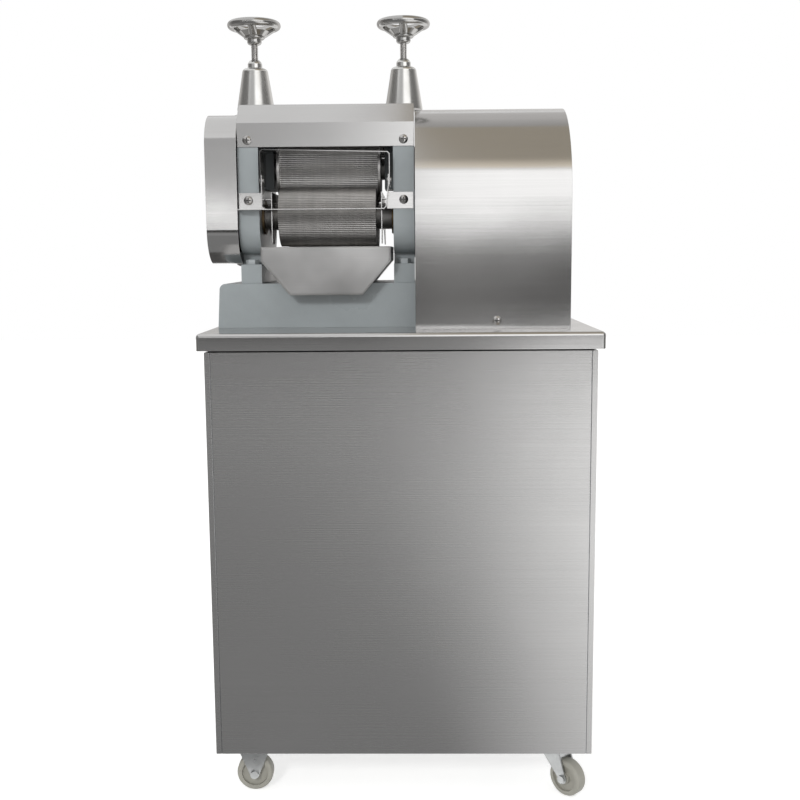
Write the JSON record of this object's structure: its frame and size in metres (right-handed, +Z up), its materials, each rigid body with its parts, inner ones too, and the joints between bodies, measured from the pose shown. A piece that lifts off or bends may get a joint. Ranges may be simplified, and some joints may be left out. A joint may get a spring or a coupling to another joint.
{
  "type": "electric sugarcane juicer",
  "caption": "Free-standing electric sugarcane juicer: fluted roller mill with pressure handwheels, feed chute, juice tray and covered motor on a wheeled stainless cabinet.",
  "frame": {"origin": "on the floor under the middle of the worktop", "axes": "+X to the right, towards the motor cover; +Y to the back; +Z up"},
  "size_m": [0.52, 0.4, 1.0597],
  "materials": {
    "brushed_stainless": "brushed stainless sheet",
    "tube_steel": "mill-finish steel tube",
    "grey_paint": "blue-grey gloss enamel",
    "chrome": "polished chrome",
    "roller_steel": "machined steel",
    "gear_steel": "machined steel, oiled",
    "spring_steel": "dark spring wire",
    "zinc_steel": "zinc-plated pressed steel",
    "bright_fasteners": "plain bright steel",
    "bronze": "turned bronze",
    "black_rubber": "matt black",
    "black_plastic": "moulded black",
    "nylon": "beige-grey nylon",
    "motor_paint": "dark grey enamel",
    "gearbox_paint": "dark grey enamel"
  },
  "bodies": {
    "stand": {"cabinet_frame": "tube_steel", "front_panel": "brushed_stainless", "side_panels": "brushed_stainless", "cabinet_floor": "brushed_stainless", "worktop": "brushed_stainless", "worktop_gasket": "black_rubber", "door_hinges": "zinc_steel", "head_base": "grey_paint", "left_cheek": "grey_paint", "right_cheek": "grey_paint", "top_cover": "brushed_stainless", "gear_cover": "brushed_stainless", "motor_cover": "brushed_stainless", "cover_brackets": "tube_steel", "feed_chute_upper": "brushed_stainless", "feed_chute_lower": "brushed_stainless", "chute_rivets": "bright_fasteners", "discharge_slide": "brushed_stainless", "side_baffles": "brushed_stainless", "trash_plate": "roller_steel", "lower_bushes": "bronze", "gearbox": "gearbox_paint", "motor": "motor_paint", "cable_gland": "black_plastic", "switch_body": "black_plastic", "left_tower": "chrome", "right_tower": "chrome", "dome_nuts": "chrome", "left_spring": "spring_steel", "right_spring": "spring_steel", "sheet_screws": "bright_fasteners", "hex_bolts": "bright_fasteners", "fixed_forks": "zinc_steel", "swivel_plates": "zinc_steel"},
    "door": {"rear_door": "brushed_stainless"},
    "latch": {"door_latch": "chrome"},
    "juice_tray": {"juice_tray": "brushed_stainless"},
    "front_roller": {"front_roller": "roller_steel", "front_gear": "gear_steel", "output_sleeve": "gear_steel"},
    "rear_roller": {"rear_roller": "roller_steel", "rear_gear": "gear_steel"},
    "top_carriage": {"bearing_blocks": "grey_paint", "push_rods": "gear_steel"},
    "top_roller": {"top_roller": "roller_steel", "top_gear": "gear_steel"},
    "left_pad": {"left_pad": "gear_steel"},
    "right_pad": {"right_pad": "gear_steel"},
    "left_adjuster": {"left_screw": "gear_steel", "left_handwheel": "chrome"},
    "right_adjuster": {"right_screw": "gear_steel", "right_handwheel": "chrome"},
    "switch": {"switch_rocker": "black_plastic"},
    "front_swivel": {"front_swivel_fork": "zinc_steel"},
    "rear_swivel": {"rear_swivel_fork": "zinc_steel"},
    "front_left_wheel": {"front_left_wheel": "nylon"},
    "rear_left_wheel": {"rear_left_wheel": "nylon"},
    "front_right_wheel": {"front_right_wheel": "nylon"},
    "rear_right_wheel": {"rear_right_wheel": "nylon"}
  },
  "joints": [
    {"name": "front_roller_spin", "type": "hinge", "parent": "stand", "child": "front_roller", "pos_m": [-0.0995, -0.0495, 0.789], "axis": [1, 0, 0], "continuous": true},
    {"name": "rear_roller_spin", "type": "hinge", "parent": "stand", "child": "rear_roller", "pos_m": [-0.0995, 0.0395, 0.789], "axis": [1, 0, 0], "continuous": true},
    {"name": "top_roller_lift", "type": "slide", "parent": "stand", "child": "top_carriage", "axis": [0, 0, 1], "range_m": [0, 0.003], "stiffness_N_per_m": 20000, "springref_m": -0.01, "deforming": ["left_spring", "right_spring"]},
    {"name": "top_roller_spin", "type": "hinge", "parent": "top_carriage", "child": "top_roller", "pos_m": [-0.0995, -0.005, 0.85668], "axis": [1, 0, 0], "continuous": true},
    {"name": "left_pad_slide", "type": "slide", "parent": "stand", "child": "left_pad", "axis": [0, 0, 1], "range_m": [-0.00451, 0.00451], "deforming": ["left_spring"]},
    {"name": "left_handwheel_turn", "type": "hinge", "parent": "left_pad", "child": "left_adjuster", "pos_m": [-0.2035, -0.005, 1.03], "axis": [0, 0, 1], "range_deg": [-1080, 1080]},
    {"name": "right_pad_slide", "type": "slide", "parent": "stand", "child": "right_pad", "axis": [0, 0, 1], "range_m": [-0.00451, 0.00451], "deforming": ["right_spring"]},
    {"name": "right_handwheel_turn", "type": "hinge", "parent": "right_pad", "child": "right_adjuster", "pos_m": [0.0045, -0.005, 1.03], "axis": [0, 0, 1], "range_deg": [-1080, 1080]},
    {"name": "tray_slide", "type": "slide", "parent": "stand", "child": "juice_tray", "axis": [0, -1, 0], "range_m": [0, 0.12]},
    {"name": "door_swing", "type": "hinge", "parent": "stand", "child": "door", "pos_m": [0.2315, 0.192, 0.343], "axis": [0, 0, -1], "range_deg": [0, 110]},
    {"name": "latch_turn", "type": "hinge", "parent": "door", "child": "latch", "pos_m": [-0.197, 0.188, 0.343], "axis": [0, -1, 0], "range_deg": [0, 90]},
    {"name": "switch_rock", "type": "hinge", "parent": "stand", "child": "switch", "pos_m": [0.2225, -0.08, 0.719], "axis": [0, 1, 0], "range_deg": [0, 16]},
    {"name": "front_swivel_turn", "type": "hinge", "parent": "stand", "child": "front_swivel", "pos_m": [0.207, -0.14, 0], "axis": [0, 0, 1], "continuous": true},
    {"name": "front_right_wheel_roll", "type": "hinge", "parent": "front_swivel", "child": "front_right_wheel", "pos_m": [0.22468, -0.15768, 0.025], "axis": [0.7071, 0.7071, 0], "continuous": true},
    {"name": "front_left_wheel_roll", "type": "hinge", "parent": "stand", "child": "front_left_wheel", "pos_m": [-0.207, -0.14, 0.025], "axis": [0, 1, 0], "continuous": true},
    {"name": "rear_swivel_turn", "type": "hinge", "parent": "stand", "child": "rear_swivel", "pos_m": [0.207, 0.14, 0], "axis": [0, 0, 1], "continuous": true},
    {"name": "rear_right_wheel_roll", "type": "hinge", "parent": "rear_swivel", "child": "rear_right_wheel", "pos_m": [0.22468, 0.12232, 0.025], "axis": [0.7071, 0.7071, 0], "continuous": true},
    {"name": "rear_left_wheel_roll", "type": "hinge", "parent": "stand", "child": "rear_left_wheel", "pos_m": [-0.207, 0.14, 0.025], "axis": [0, 1, 0], "continuous": true}
  ],
  "couplings": [
    {"joint": "rear_roller_spin", "follows": "front_roller_spin", "ratio": 1},
    {"joint": "top_roller_spin", "follows": "front_roller_spin", "ratio": -1},
    {"joint": "left_pad_slide", "follows": "left_handwheel_turn", "m_per_rad": 0.00023873},
    {"joint": "right_pad_slide", "follows": "right_handwheel_turn", "m_per_rad": 0.00023873}
  ]
}
